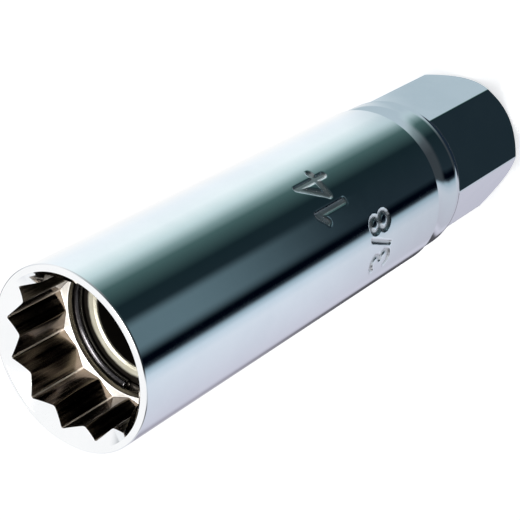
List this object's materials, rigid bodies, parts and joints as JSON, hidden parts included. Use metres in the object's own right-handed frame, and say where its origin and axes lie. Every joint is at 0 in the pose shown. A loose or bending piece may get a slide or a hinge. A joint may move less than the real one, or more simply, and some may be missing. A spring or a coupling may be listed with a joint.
{
  "type": "spark plug socket",
  "caption": "Deep chrome spark plug socket with a twelve-point mouth, a ring magnet held by a wire snap ring inside, and a hexagonal end with a square drive opening.",
  "frame": {"origin": "centre of the drive face, which the socket stands on", "axes": "+Z along the socket's axis from the drive face to the mouth; +X through a corner of the drive hexagon; +Y square to one of its flats"},
  "size_m": [0.0184, 0.0184, 0.07],
  "materials": {
    "chrome_steel": "bright chrome plate outside, plain darker steel in the bore",
    "nickel_magnet": "satin nickel plate",
    "spring_wire": "drawn spring wire"
  },
  "bodies": {
    "root": {"socket_body": "chrome_steel", "ring_magnet": "nickel_magnet", "snap_ring": "spring_wire"}
  },
  "joints": []
}
